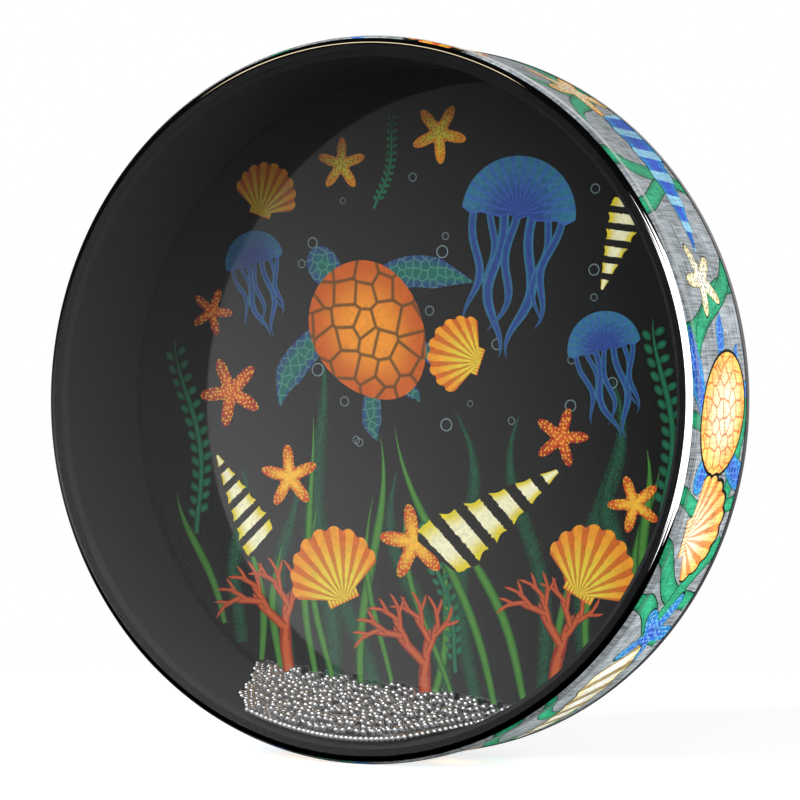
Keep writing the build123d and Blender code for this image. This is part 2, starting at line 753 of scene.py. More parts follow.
@dataclass(frozen=True)
class Stroke:
    """One shape: a strip, or with disc set a disc, as a map from the unit square to the flat drawing."""

    shape: Callable[[float, float], Point]
    ink: Ink
    columns: int
    rows: int
    disc: bool = False

    def mesh(self) -> bmesh.types.BMesh:
        """Draw the shape flat.

        Returns:
            A flat mesh in metres with its ink and cloth maps and its colours.
        """
        same_place = 0.005 * MM
        bm = bmesh.new()
        bmesh.ops.create_grid(bm, x_segments=self.columns, y_segments=self.rows, size=0.5)
        ink_map = bm.loops.layers.uv.new("ink")
        names = ("core", "rim", "accent")
        tints = [(bm.verts.layers.float_color.new(name), opaque(getattr(self.ink, name))) for name in names]
        for face in bm.faces:
            for loop in face.loops:
                along, across = loop.vert.co.x + 0.5, loop.vert.co.y + 0.5
                loop[ink_map].uv = (along, across if self.disc else abs(2 * across - 1))
        for vert in bm.verts:
            x, y = self.shape(vert.co.x + 0.5, vert.co.y + 0.5)
            vert.co = (x * MM, y * MM, 0.0)
            for layer, colour in tints:
                vert[layer] = colour
        map_cloth(bm)
        if self.disc:
            bmesh.ops.remove_doubles(bm, verts=bm.verts[:], dist=same_place)
        return bm


@dataclass(frozen=True)
class Spot:
    """Where a motif lies, how far it is turned in degrees, and its size in millimetres."""

    x: float
    y: float
    turn: float
    size: float

    def at(self, x: float, y: float) -> Point:
        """Carry a point of the unit motif, in sizes, to the drawing."""
        c, s = math.cos(math.radians(self.turn)), math.sin(math.radians(self.turn))
        return self.x + self.size * (c * x - s * y), self.y + self.size * (s * x + c * y)

    def part(self, x: float, y: float, turn: float, size: float) -> "Spot":
        """A spot on this motif for one of its parts, with its place and size in sizes of the motif."""
        return Spot(*self.at(x, y), self.turn + turn, self.size * size)


@dataclass(frozen=True)
class Motif:
    """Something printed at a spot, made of strokes."""

    spot: Spot
    ink: Ink
    grid: ClassVar[tuple[int, int]] = (28, 1)
    disc: ClassVar[bool] = True

    def shape(self, along: float, across: float) -> Point:
        """Point of the motif, round it or along it, and from its middle or first side to its edge."""
        raise NotImplementedError

    def strokes(self) -> list[Stroke]:
        """Shapes of the motif, the lowest first."""
        return [Stroke(self.shape, self.ink, *self.grid, self.disc)]


@dataclass(frozen=True)
class Blade(Motif):
    """A leaf or arm that sways along its length and narrows to its tip."""

    width: float = 0.1
    sway: float = 0.1
    waves: float = 1.0
    phase: float = 0.0
    root: float = 0.35
    columns: int = 32

    def line(self, along: float) -> Point:
        """Point of the middle line, in sizes."""
        angle = self.phase + math.tau * self.waves * along
        return self.sway * along * (math.sin(angle) - math.sin(self.phase)), along

    def shape(self, along: float, across: float) -> Point:
        """Point of the blade.

        Args:
            along: Share of the length.
            across: Share of the width.

        Returns:
            The point in millimetres.
        """
        step, belly, belly_start, tip, tip_power = 0.01, 0.75, 0.12, 3.0, 0.8
        x, y = self.line(along)
        ahead = self.line(along + step)
        length = math.hypot(ahead[0] - x, ahead[1] - y)
        swell = self.root + (1 - self.root) * math.sin(math.pi * min(1.0, along * belly + belly_start))
        taper = min(1.0, (1 - along) * tip) ** tip_power
        offset = (across - 0.5) * self.width * swell * taper
        return self.spot.at(x + offset * (ahead[1] - y) / length, y - offset * (ahead[0] - x) / length)

    def strokes(self) -> list[Stroke]:
        """The blade as one strip."""
        return [Stroke(self.shape, self.ink, self.columns, 4)]


@dataclass(frozen=True)
class Oval(Motif):
    """A round or oval patch."""

    width: float = 1.0
    columns: int = 28
    rows: int = 4

    def shape(self, along: float, across: float) -> Point:
        """Point of the oval."""
        angle = math.tau * along
        return self.spot.at(0.5 * self.width * across * math.cos(angle), 0.5 * across * math.sin(angle))

    def strokes(self) -> list[Stroke]:
        """The oval as one disc."""
        return [Stroke(self.shape, self.ink, self.columns, self.rows, disc=True)]


class Starfish(Motif):
    """A star with five rounded arms."""

    grid = (90, 6)
    arms, waist, arm_power = 5, 0.36, 1.4

    def shape(self, along: float, across: float) -> Point:
        """Point of the star.

        Args:
            along: Share of the way round.
            across: Share of the way out.

        Returns:
            The point in millimetres.
        """
        angle = math.tau * along
        arm = (0.5 + 0.5 * math.cos(self.arms * angle)) ** self.arm_power
        radius = 0.5 * across * (self.waist + (1 - self.waist) * arm)
        return self.spot.at(radius * math.sin(angle), radius * math.cos(angle))


class Scallop(Motif):
    """A fan shell with a scalloped lip and two ears at its hinge."""

    grid = (72, 6)
    ribs, spread, hinge = 9, 132.0, 0.4
    lip_depth, side_length = 0.06, 0.72
    ear_width, ear_height, ear_foot = 0.46, 0.14, 0.42

    def shape(self, along: float, across: float) -> Point:
        """Point of the fan, from its hinge to its lip.

        Args:
            along: Share of the way from side to side.
            across: Share of the way out.

        Returns:
            The point in millimetres.
        """
        angle = math.radians((along - 0.5) * self.spread)
        lip = 1 - self.lip_depth + self.lip_depth * abs(math.sin(math.pi * self.ribs * along))
        radius = across * lip * (self.side_length + (1 - self.side_length) * math.sin(math.pi * along))
        return self.spot.at(radius * math.sin(angle), radius * math.cos(angle) - self.hinge)

    def ears(self, along: float, across: float) -> Point:
        """Point of the hinge's two ears."""
        height = self.ear_height * (0.5 + abs(2 * along - 1))
        return self.spot.at((along - 0.5) * self.ear_width, across * height - self.ear_foot)

    def strokes(self) -> list[Stroke]:
        """The ears with the fan over them."""
        return [Stroke(self.ears, self.ink, 8, 2), *super().strokes()]


class Spire(Motif):
    """A pointed shell with swelling whorls."""

    grid = (96, 6)
    disc = False
    whorls, width, taper, tilt = 6, 0.44, 0.85, 0.10
    swelling, first_whorl = 0.09, 1.2
    mouth_start, mouth_rate = 0.03, 9.0

    def shape(self, along: float, across: float) -> Point:
        """Point of the shell, from its mouth to its point.

        Args:
            along: Share of the length.
            across: Share of the width.

        Returns:
            The point in millimetres.
        """
        swell = 1 + self.swelling * math.sin(math.tau * self.whorls * along + self.first_whorl)
        mouth = min(1.0, (along + self.mouth_start) * self.mouth_rate) ** 0.5
        width = self.width * (1 - along) ** self.taper * swell * mouth
        lean = self.tilt * (across - 0.5) * (1 - along)
        return self.spot.at((across - 0.5) * width, along - 0.5 + lean)


class JellyArms(Motif):
    """Trailing arms under a jellyfish."""

    count, length, span, top = 7, 1.3, 0.8, 0.10
    fan, outer_cut, every_other_cut = 14, 0.9, 0.18

    def strokes(self) -> list[Stroke]:
        """Draw the arms side by side.

        Returns:
            One stroke for each arm.
        """
        made: list[Stroke] = []
        for number in range(self.count):
            share = number / (self.count - 1) - 0.5
            reach = self.length * (1 - self.outer_cut * share * share - self.every_other_cut * (number % 2))
            spot = self.spot.part(share * self.span, self.top, 180 - share * self.fan, reach)
            arm = Blade(spot, self.ink, width=0.07, sway=0.09, waves=1.3, phase=number * 1.7, root=0.8)
            made += arm.strokes()
        return made


class JellyBell(Motif):
    """Bell of a jellyfish, with a wavy hem."""

    grid = (80, 6)
    lobes, height, hem_depth, hem_power = 5, 0.46, 0.05, 6

    def shape(self, along: float, across: float) -> Point:
        """Point of the bell, from the middle of its hem to its edge.

        Args:
            along: Share of the half turn over the bell.
            across: Share of the way out.

        Returns:
            The point in millimetres.
        """
        angle = math.pi * along
        x, y = 0.5 * across * math.cos(angle), self.height * across * math.sin(angle)
        wave = abs(math.sin(math.pi * self.lobes * (x + 0.5)))
        return self.spot.at(x, y - self.hem_depth * wave * (1 - math.sin(angle)) ** self.hem_power)


class TurtleSkin(Motif):
    """Head, flippers and tail of a turtle, under its shell."""

    flipper_root = 0.55

    def strokes(self) -> list[Stroke]:
        """Draw four flippers, the tail and the head.

        Returns:
            The strokes.
        """
        made: list[Stroke] = []
        for sign in (-1, 1):
            fore = self.spot.part(sign * 0.25, 0.22, -sign * 100, 0.62)
            hind = self.spot.part(sign * 0.22, -0.32, -sign * 142, 0.34)
            for spot, width, sway, waves, phase in (
                (fore, 0.34, 0.34, 0.30, -sign * 0.9),
                (hind, 0.42, 0.2, 0.35, -sign * 0.8),
            ):
                made += Blade(spot, self.ink, width, sway, waves, phase, self.flipper_root).strokes()
        made += Blade(self.spot.part(0, -0.4, 180, 0.2), self.ink, 0.4).strokes()
        made += Oval(self.spot.part(0, 0.56, 0, 0.3), self.ink, 0.78).strokes()
        return made


class TurtleShell(Motif):
    """Back of a turtle, narrower towards its tail."""

    grid = (48, 8)
    half_width, half_length, narrowing = 0.40, 0.5, 0.05

    def shape(self, along: float, across: float) -> Point:
        """Point of the back.

        Args:
            along: Share of the way round.
            across: Share of the way out.

        Returns:
            The point in millimetres.
        """
        angle = math.tau * along
        reach = self.half_width + self.narrowing * math.sin(angle)
        return self.spot.at(across * reach * math.cos(angle), across * self.half_length * math.sin(angle))


class Coral(Motif):
    """A branching coral."""

    depth, width, fork, uneven, branch_size = 4, 0.2, 26.0, 0.12, 0.72

    def grow(self, spot: Spot, depth: int) -> list[Stroke]:
        """Grow one branch and what it carries.

        Args:
            spot: Root of the branch.
            depth: Forks still to come.

        Returns:
            The strokes.
        """
        branch = Blade(spot, self.ink, self.width, sway=0.06, waves=0.5, phase=depth, root=0.95, columns=10)
        made = branch.strokes()
        if depth:
            for sign in (-1, 1):
                turn = sign * self.fork * (1.0 + self.uneven * depth * sign)
                made += self.grow(spot.part(0, 0.62 + 0.1 * sign, turn, self.branch_size), depth - 1)
        return made

    def strokes(self) -> list[Stroke]:
        """All branches."""
        return self.grow(self.spot, self.depth)


class Sprig(Motif):
    """A stem with small round leaves on both sides."""

    pairs, first_leaf, leafy_share = 13, 0.12, 0.86

    def strokes(self) -> list[Stroke]:
        """Draw the stem and its leaves.

        Returns:
            The strokes.
        """
        stem = Blade(self.spot, self.ink, width=0.03, sway=0.12, waves=0.7, phase=0.6, root=0.9)
        made = stem.strokes()
        for number in range(self.pairs):
            x, y = stem.line(self.first_leaf + self.leafy_share * number / self.pairs)
            for sign in (-1, 1):
                leaf = self.spot.part(x + sign * 0.034, y + 0.015 * sign, -sign * 50, 0.062)
                made += Oval(leaf, self.ink, 0.62, 12, 2).strokes()
        return made


class Bubble(Motif):
    """A thin ring."""

    thickness = 0.09

    def shape(self, along: float, across: float) -> Point:
        """Point of the ring."""
        radius, angle = 0.5 - self.thickness * across, math.tau * along
        return self.spot.at(radius * math.sin(angle), radius * math.cos(angle))


class Ground:
    """A surface that takes print."""

    slot: Slot

    def clip(self, bm: bmesh.types.BMesh) -> None:
        """Cut nothing: every motif keeps inside the edge."""

    def place(self, flat: Vector) -> Vector:
        """Carry a point of the flat drawing, with its height, to the ground without mirroring."""
        raise NotImplementedError

    def lay(self, bm: bmesh.types.BMesh, height: float) -> None:
        """Give a flat drawing its thickness and lay it on the ground.

        Args:
            bm: Flat mesh.
            height: Height of its second face over the ground.
        """
        sides = bmesh.ops.extrude_face_region(bm, geom=bm.faces[:], use_keep_orig=True)
        for vert in (item for item in sides["geom"] if isinstance(item, bmesh.types.BMVert)):
            vert.co.z = height
        bmesh.ops.recalc_face_normals(bm, faces=bm.faces[:])
        for vert in bm.verts:
            vert.co = self.place(vert.co)


@dataclass(frozen=True)
class HeadGround(Ground):
    """Inner face of the rear film, seen from the front."""

    face: float
    slot: Slot = Slot.PRINT

    def place(self, flat: Vector) -> Vector:
        """Right in the drawing is +X, up is +Z, and ink builds up towards the front."""
        return Vector((flat.x, self.face - flat.z, flat.y))


@dataclass(frozen=True)
class WrapGround(Ground):
    """Outside of the cloth wrap, drawn along the strip from its middle."""

    sizes: DrumSizes
    thickness: float
    seam_gap: float
    slot: Slot = Slot.WRAP

    @property
    def bend(self) -> float:
        """Radius of the cloth's outside where it turns over the edge."""
        return self.sizes.edge_round + self.thickness

    @property
    def half_length(self) -> float:
        """Half the length of the flat strip."""
        return math.pi * (self.sizes.shell_radius + self.thickness) - self.seam_gap / 2

    @property
    def half_width(self) -> float:
        """Half the width of the flat strip."""
        return self.sizes.round_start + self.bend * self.sizes.wrap_turn

    def clip(self, bm: bmesh.types.BMesh) -> None:
        """Cut the drawing at the strip's ends and edges, and cross it with lines where the strip bends.

        Args:
            bm: Flat mesh to cut.
        """
        bend_lines = 4
        width = self.half_width - self.sizes.round_start
        for sign in (-1, 1):
            cuts = [((sign * self.half_length, 0, 0), (sign, 0, 0), True)]
            for line in range(bend_lines + 1):
                reach = self.half_width - width * line / bend_lines
                cuts.append(((0, sign * reach, 0), (0, sign, 0), line == 0))
            for place, normal, clear in cuts:
                whole = bm.verts[:] + bm.edges[:] + bm.faces[:]
                bmesh.ops.bisect_plane(bm, geom=whole, plane_co=place, plane_no=normal, clear_outer=clear)

    def place(self, flat: Vector) -> Vector:
        """Carry a point of the strip to the drum.

        Args:
            flat: Place along the strip, which runs up round the drum from +X, then across it towards
                the front, then the height.

        Returns:
            The point on the drum.
        """
        s = self.sizes
        angle = flat.x / (s.shell_radius + self.thickness)
        turn = max(0.0, abs(flat.y) - s.round_start) / self.bend
        radius = s.bond_radius + (self.bend + flat.z) * math.cos(turn)
        reach = min(abs(flat.y), s.round_start) + (self.bend + flat.z) * math.sin(turn)
        return Vector((radius * math.cos(angle), -math.copysign(reach, flat.y), radius * math.sin(angle)))


@dataclass
class PrintLayer:
    """Motifs of one kind, printed in one pass."""

    name: str
    finish: InkFinish
    motifs: list[Motif]
    stroke_step: float = 0.0002 * MM

    def build(self, ground: Ground, effects: Effects, lift: float) -> bpy.types.Object:
        """Print the motifs on a ground.

        Args:
            ground: Surface that takes the print.
            effects: Shared shader groups.
            lift: Height of the first stroke over the ground, in metres.

        Returns:
            The printed piece.
        """
        whole = bmesh.new()
        strokes = [stroke for motif in self.motifs for stroke in motif.strokes()]
        for number, stroke in enumerate(strokes):
            bm = stroke.mesh()
            ground.clip(bm)
            ground.lay(bm, lift + number * self.stroke_step)
            scrap = new_mesh("scrap", bm)
            whole.from_mesh(scrap)
            bpy.data.meshes.remove(scrap)
        return finish_piece(self.name, whole, [self.finish.material(effects)], Body.DRUM)


@dataclass(frozen=True)
class WeedBed:
    """A row of kelp blades that grow from the bottom of the face."""

    ink: Ink
    count: int
    first: float
    step: float
    scatter: float
    heights: Point
    tilt: float
    widths: Point
    waves: float
    root: float
    sway: float = 0.10
    columns: int = 48

    def blades(self, rng: random.Random, reach: float) -> list[Motif]:
        """Grow the blades, which get shorter towards the sides.

        Args:
            rng: Source of their differences.
            reach: Radius on which they stand.

        Returns:
            The blades.
        """
        no_height = 150
        made: list[Motif] = []
        for number in range(self.count):
            x = self.first + self.step * number + rng.uniform(-self.scatter, self.scatter)
            height = rng.uniform(*self.heights) * (1 - (x / no_height) ** 2)
            spot = Spot(x, -math.sqrt(reach**2 - x**2), rng.uniform(-self.tilt, self.tilt), height)
            width = rng.uniform(*self.widths) / height
            phase = rng.uniform(0, 6)
            made.append(Blade(spot, self.ink, width, self.sway, self.waves, phase, self.root, self.columns))
        return made


@dataclass
class HeadPrint:
    """Sea garden on the black rear film."""

    sizes: DrumSizes
    effects: Effects
    seed: int = 7
    rim_margin: float = 3
    layer_step: float = 0.008 * MM
    kelp_dark: Ink = Ink((0.008, 0.058, 0.030), (0.004, 0.026, 0.014), (0.02, 0.14, 0.065))
    kelp_bright: Ink = Ink((0.062, 0.215, 0.032), (0.008, 0.062, 0.013))
    sprig_green: Ink = Ink((0.012, 0.15, 0.07), (0.006, 0.075, 0.035))
    turtle_skin: Ink = Ink((0.010, 0.12, 0.10), (0.02, 0.05, 0.17), (0.10, 0.30, 0.20))
    turtle_back: Ink = Ink((0.80, 0.28, 0.02), (0.52, 0.10, 0.01), (0.10, 0.05, 0.01))
    star_orange: Ink = Ink((0.86, 0.42, 0.04), (0.52, 0.06, 0.01), (0.75, 0.60, 0.05))
    star_red: Ink = Ink((0.62, 0.10, 0.02), (0.32, 0.02, 0.01), (0.85, 0.55, 0.04))
    fan_yellow: Ink = Ink((0.72, 0.62, 0.05), (0.78, 0.30, 0.02), (0.50, 0.05, 0.01))
    spire_yellow: Ink = Ink((0.86, 0.84, 0.55), (0.70, 0.58, 0.02), (0.010, 0.010, 0.008))
    jelly_blue: Ink = Ink((0.02, 0.05, 0.22), (0.03, 0.16, 0.26), (0.04, 0.10, 0.40))
    coral_red: Ink = Ink((0.50, 0.10, 0.03), (0.22, 0.02, 0.01))
    bubble_pale: Ink = Ink((0.20, 0.28, 0.30), (0.10, 0.16, 0.18))

    def layers(self) -> list[PrintLayer]:
        """List everything printed on the film, the lowest first.

        Returns:
            The layers.
        """
        rng = random.Random(self.seed)
        reach = self.sizes.inner_radius / MM - self.rim_margin
        beds = (
            WeedBed(
                self.kelp_dark, count=9, first=-88, step=24, scatter=6, heights=(110, 205), tilt=14,
                widths=(7, 10), waves=0.9, root=0.8,
            ),
            WeedBed(
                self.kelp_bright, count=15, first=-100, step=15, scatter=5, heights=(70, 150), tilt=18,
                widths=(3, 5), waves=0.6, root=0.5,
            ),
        )
        dark, bright = (bed.blades(rng, reach) for bed in beds)
        turtle = Spot(-26, 30, 38, 66)
        jellies = [Spot(46, 80, -8, 54), Spot(86, 22, 12, 34), Spot(-84, 62, 14, 30)]
        stars = [
            Spot(-4, -62, 10, 34), Spot(-96, 4, 25, 32), Spot(8, 116, 40, 27), Spot(-66, -34, 5, 29),
            Spot(66, -16, 55, 26), Spot(-40, 104, 70, 24), Spot(100, -44, 20, 25), Spot(-106, 40, 50, 22),
        ]
        fans = [Spot(-44, -76, 24, 34), Spot(80, -72, -30, 32), Spot(18, 20, 70, 26), Spot(-78, 92, -20, 24)]
        spires = [Spot(36, -48, -58, 72), Spot(-92, -44, 30, 48), Spot(92, 66, 160, 44)]
        sprigs = [
            Spot(-114, -60, -3, 88), Spot(-24, 84, -24, 44), Spot(112, -50, -8, 84), Spot(16, -118, 6, 70),
        ]
        corals = [Spot(-66, -122, 8, 30), Spot(62, -124, -10, 28), Spot(2, -136, 4, 30)]
        rng = random.Random(self.seed + 1)
        bubbles = [
            Spot(rng.uniform(-70, 90), rng.uniform(-20, 110), 0, rng.uniform(2.5, 6)) for _ in range(22)
        ]
        star_inks = [self.star_orange, self.star_red, self.fan_yellow]
        rows = (
            ("dark_kelp", {"dots": 900, "dot_share": 0.35, "mottle": 0.5}, dark),
            ("sprigs", {}, [Sprig(s, self.sprig_green) for s in sprigs]),
            ("bright_kelp", {}, bright),
            ("coral", {}, [Coral(s, self.coral_red) for s in corals]),
            ("bubbles", {}, [Bubble(s, self.bubble_pale) for s in bubbles]),
            ("jelly_arms", {}, [JellyArms(s, self.jelly_blue) for s in jellies]),
            ("jelly_bells", {"bands": 14, "band_share": 0.6, "band_width": 0.35},
             [JellyBell(s, self.jelly_blue) for s in jellies]),
            ("turtle_skin", {"cells": 260, "cell_share": 0.6}, [TurtleSkin(turtle, self.turtle_skin)]),
            ("turtle_back", {"cells": 95, "cell_share": 0.9}, [TurtleShell(turtle, self.turtle_back)]),
            ("stars", {"dots": 620, "dot_share": 0.75},
             [Starfish(s, star_inks[n % len(star_inks)]) for n, s in enumerate(stars)]),
            ("fans", {"bands": 9, "band_share": 0.7, "band_width": 0.45},
             [Scallop(s, self.fan_yellow) for s in fans]),
            ("spires", {"bands": 6, "band_share": 1.0, "band_width": 0.42},
             [Spire(s, self.spire_yellow) for s in spires]),
        )
        return [
            PrintLayer(f"print_{name}", InkFinish(f"ink_{name}", **look), made) for name, look, made in rows
        ]

    def build(self) -> None:
        """Print every layer on the rear film."""
        for number, layer in enumerate(self.layers(), start=1):
            layer.build(HeadGround(self.sizes.film_seat), self.effects, number * self.layer_step)


@dataclass
class Wrap:
    """Printed cloth strip round the shell."""

    sizes: DrumSizes
    effects: Effects
    ink_room: float = 0.16 * MM
    seam_gap: float = 0.6 * MM
    layer_step: float = 0.02 * MM
    columns: int = 400
    rows: int = 64
    seed: int = 23
    end_margin: float = 62
    spire_size: float = 78
    star_sizes: Point = (46, 34)
    fan_size: float = 38
    turtle_size: float = 56
    kelp: Ink = Ink((0.02, 0.34, 0.16), (0.008, 0.20, 0.09), (0.12, 0.60, 0.36))
    inks: tuple[Ink, ...] = (
        Ink((0.92, 0.84, 0.42), (0.85, 0.36, 0.03), (0.62, 0.03, 0.02)),
        Ink((0.92, 0.92, 0.84), (0.84, 0.76, 0.42), (0.30, 0.20, 0.05)),
        Ink((0.03, 0.10, 0.55), (0.02, 0.26, 0.60), (0.30, 0.62, 0.78)),
        Ink((0.94, 0.86, 0.58), (0.88, 0.52, 0.12), (0.72, 0.14, 0.02)),
    )

    def build(self) -> None:
        """Build the cloth and print on it."""
        s = self.sizes
        thickness = s.wrap_radius - self.ink_room - s.shell_radius
        ground = WrapGround(s, thickness, self.seam_gap)
        half_length = ground.half_length
        bm = bmesh.new()
        bmesh.ops.create_grid(bm, x_segments=self.columns, y_segments=self.rows, size=1.0)
        for vert in bm.verts:
            vert.co = (vert.co.x * half_length, vert.co.y * ground.half_width, 0.0)
        map_cloth(bm)
        ground.lay(bm, -thickness)
        cloth = finish_piece("wrap_cloth_strip", bm, [Linen().material(self.effects)], Body.DRUM)
        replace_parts(cloth, "shell_wrap")
        for number, layer in enumerate(self.layers(half_length / MM), start=1):
            layer.build(ground, self.effects, number * self.layer_step)

    def blade(self, spot: Spot, width: float, phase: float) -> Blade:
        """One long blade of kelp on the cloth."""
        return Blade(spot, self.kelp, width, sway=0.16, waves=0.8, phase=phase, root=0.85, columns=60)

    def layers(self, half_length: float) -> list[PrintLayer]:
        """List everything printed on the cloth, the lowest first.

        Args:
            half_length: Half the strip's length in millimetres.

        Returns:
            The layers.
        """
        rng = random.Random(self.seed)
        kinds = ("kelp", "turtle_skin", "turtle_back", "stars", "fans", "spires")
        made: dict[str, list[Motif]] = {kind: [] for kind in kinds}
        place = -half_length + self.end_margin
        number = 0
        while place < half_length - self.end_margin:
            for _ in range(2):
                x, y = place + rng.uniform(-20, 20), rng.uniform(-36, -20)
                spot = Spot(x, y, rng.uniform(-70, 70), rng.uniform(60, 95))
                made["kelp"].append(self.blade(spot, rng.uniform(7, 11) / spot.size, rng.uniform(0, 6)))
            ink = self.inks[number % len(self.inks)]
            x, y, turn = place, rng.uniform(-12, 12), rng.uniform(0, 360)
            kind = number % 5
            if kind == 0:
                made["spires"].append(Spire(Spot(x, y, rng.uniform(60, 120), self.spire_size), ink))
            elif kind == 2:
                made["fans"].append(Scallop(Spot(x, y, turn, self.fan_size), ink))
            elif kind == 3:
                turtle = Spot(x, y, rng.uniform(50, 130), self.turtle_size)
                made["turtle_skin"].append(TurtleSkin(turtle, self.inks[2]))
                made["turtle_back"].append(TurtleShell(turtle, self.inks[3]))
            else:
                size = self.star_sizes[kind == 4]
                made["stars"].append(Starfish(Spot(x, y, turn, size), ink))
            number += 1
            place += rng.uniform(46, 58)
        for sign in (-1, 1):
            end = sign * half_length
            made["kelp"].append(self.blade(Spot(end - 12 * sign, -32, 40 * sign, 86), 0.11, 2.0))
            made["kelp"].append(self.blade(Spot(end - 46 * sign, -30, -24 * sign, 74), 0.12, 4.0))
            made["stars"].append(Starfish(Spot(end - 30 * sign, 8 * sign, 20, 40), self.inks[1 + sign]))
        cloth = {"roughness": 0.5, "ior": 1.2, "slub": 1.3, "line_width": 0.05, "mottle": 0.4}
        leaf = {"line_width": 0.12, "outline": (0.003, 0.045, 0.022), "mottle": 0.6}
        looks = (
            {"dots": 1300, "dot_share": 0.55} | leaf,
            {"cells": 330, "cell_share": 0.5},
            {"cells": 150, "cell_share": 0.8},
            {"dots": 420, "dot_share": 0.8},
            {"bands": 9, "band_share": 0.7, "band_width": 0.45},
            {"bands": 6, "band_share": 0.9, "band_width": 0.4},
        )
        return [
            PrintLayer(f"wrap_{kind}", InkFinish(f"ink_wrap_{kind}", **cloth | look), made[kind])
            for kind, look in zip(kinds, looks)
        ]


@dataclass
class BeadCharge:
    """Loose steel beads, settled in the drum in slabs that turn by themselves."""

    sizes: DrumSizes
    depth: float = 14.6 * MM
    rise: float = 0.19
    lean: float = 6.8
    shoulder_start: float = 62 * MM
    shoulder_slope: float = 0.15
    unevenness: float = 1.2 * MM
    overfill: float = 4 * MM
    packing: float = 0.58
    clearance: float = 0.12 * MM
    seed: int = 5
    rounds: int = 420
    calm_rounds: int = 120
    start_pitch: float = 2.1
    start_width: float = 1.85
    start_scatter: float = 0.6
    most_room: float = 1.09
    fall: float = 0.12
    fall_loss: float = 0.7
    push_share: float = 0.34
    look_every: int = 6
    look_reach: float = 2.9
    touch_reach: float = 2.3
    least_touching: int = 2

    def start(self, low: float, high: float, rng: np.random.Generator) -> np.ndarray:
        """Stack one slab of beads in even rows, a little scattered.

        Args:
            low: Lowest Y that the beads may reach.
            high: Highest Y that the beads may reach.
            rng: Source of the scatter.

        Returns:
            Bead centres, one row each.
        """
        row_stretch, first_level = 1.05, 0.97
        radius = self.sizes.bead_radius
        wall = self.sizes.inner_radius - radius - self.clearance
        deepest = self.depth + self.rise * high + self.overfill
        half_chord = math.sqrt(2 * wall * deepest)
        count = int(self.packing * half_chord * deepest * (high - low) / (math.pi * radius**3))
        pitch = self.start_pitch * radius
        across = int(self.start_width * half_chord / pitch)
        along = int((high - low - 2 * radius) / pitch) + 1
        index = np.arange(count)
        places = np.stack([
            (index % across - (across - 1) / 2) * pitch * row_stretch,
            low + radius + (index // across % along) * pitch,
            -wall * first_level + index // (across * along) * pitch,
        ], axis=1)
        return places + rng.uniform(-self.start_scatter, self.start_scatter, places.shape) * radius

    def settle(self, low: float, high: float, seed: int) -> np.ndarray:
        """Let one slab of beads drop and come to rest, and take away those above the heap's top.

        Args:
            low: Lowest Y that the beads may reach.
            high: Highest Y that the beads may reach.
            seed: Seed of the starting places.

        Returns:
            Bead centres, one row each.
        """
        tiny = 1e-9
        rng = np.random.default_rng(seed)
        radius = self.sizes.bead_radius
        wall = self.sizes.inner_radius - radius - self.clearance
        places = self.start(low, high, rng)
        count = len(places)
        room = radius * rng.uniform(1.0, self.most_room, count)
        fall = self.fall * radius
        for number in range(self.rounds + self.calm_rounds):
            if number % self.look_every == 0:
                first, second = self.neighbours(places, self.look_reach * radius)
            if number < self.rounds:
                places[:, 2] -= fall * (1 - self.fall_loss * number / self.rounds)
            gap = places[first] - places[second]
            distance = np.maximum(np.linalg.norm(gap, axis=1), tiny)
            push = np.maximum(room[first] + room[second] - distance, 0.0) * self.push_share / distance
            for axis in range(3):
                move = push * gap[:, axis]
                places[:, axis] += np.bincount(first, move, count) - np.bincount(second, move, count)
            places[:, 1] = np.clip(places[:, 1], low + radius, high - radius)
            reach = np.hypot(places[:, 0], places[:, 2])
            places[:, [0, 2]] *= np.minimum(1.0, wall / np.maximum(reach, tiny))[:, None]
        top = self.depth - self.sizes.inner_radius + self.rise * places[:, 1]
        top -= self.shoulder_slope * np.maximum(np.abs(places[:, 0]) - self.shoulder_start, 0.0)
        top += rng.uniform(-1.0, 1.0, count) * self.unevenness
        places = places[places[:, 2] + radius < top]
        pairs = np.concatenate(self.neighbours(places, self.touch_reach * radius))
        x, y, z = places[np.bincount(pairs, minlength=len(places)) > self.least_touching].T
        c, s = math.cos(math.radians(self.lean)), math.sin(math.radians(self.lean))
        return np.stack([c * x + s * z, y, c * z - s * x], axis=1)

    @staticmethod
    def neighbours(places: np.ndarray, reach: float) -> tuple[np.ndarray, np.ndarray]:
        """Find the pairs of beads that may touch soon.

        Args:
            places: Bead centres.
            reach: Largest distance of a pair.

        Returns:
            The first and the second bead of every pair.
        """
        spots = places.astype(np.float32)
        square = np.zeros((len(spots), len(spots)), np.float32)
        for axis in range(3):
            square += (spots[:, None, axis] - spots[None, :, axis]) ** 2
        return np.nonzero(np.triu(square < reach * reach, 1))

    def balls(self, places: np.ndarray) -> bmesh.types.BMesh:
        """Put a small ball at every place.

        Args:
            places: Bead centres.

        Returns:
            The balls in one mesh.
        """
        pattern = bmesh.new()
        bmesh.ops.create_icosphere(pattern, subdivisions=2, radius=self.sizes.bead_radius)
        ball = new_mesh("ball", pattern)
        whole = bmesh.new()
        last = Vector()
        for place in map(Vector, places):
            ball.transform(Matrix.Translation(place - last))
            last = place
            whole.from_mesh(ball)
        bpy.data.meshes.remove(ball)
        return whole

    def build(self) -> None:
        """Build one heap piece for each slab."""
        steel = Steel().material()
        bodies = [body for body in Body if body is not Body.DRUM]
        front = -self.sizes.film_seat + self.clearance
        slab = -2 * front / len(bodies)
        for number, body in enumerate(bodies):
            low = front + number * slab
            places = self.settle(low + self.clearance, low + slab - self.clearance, self.seed + number)
            heap = finish_piece(f"{body.value}_heap", self.balls(places), [steel], body)
            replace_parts(heap, *frame["record"]["behaviour"]["bodies"][body.value])


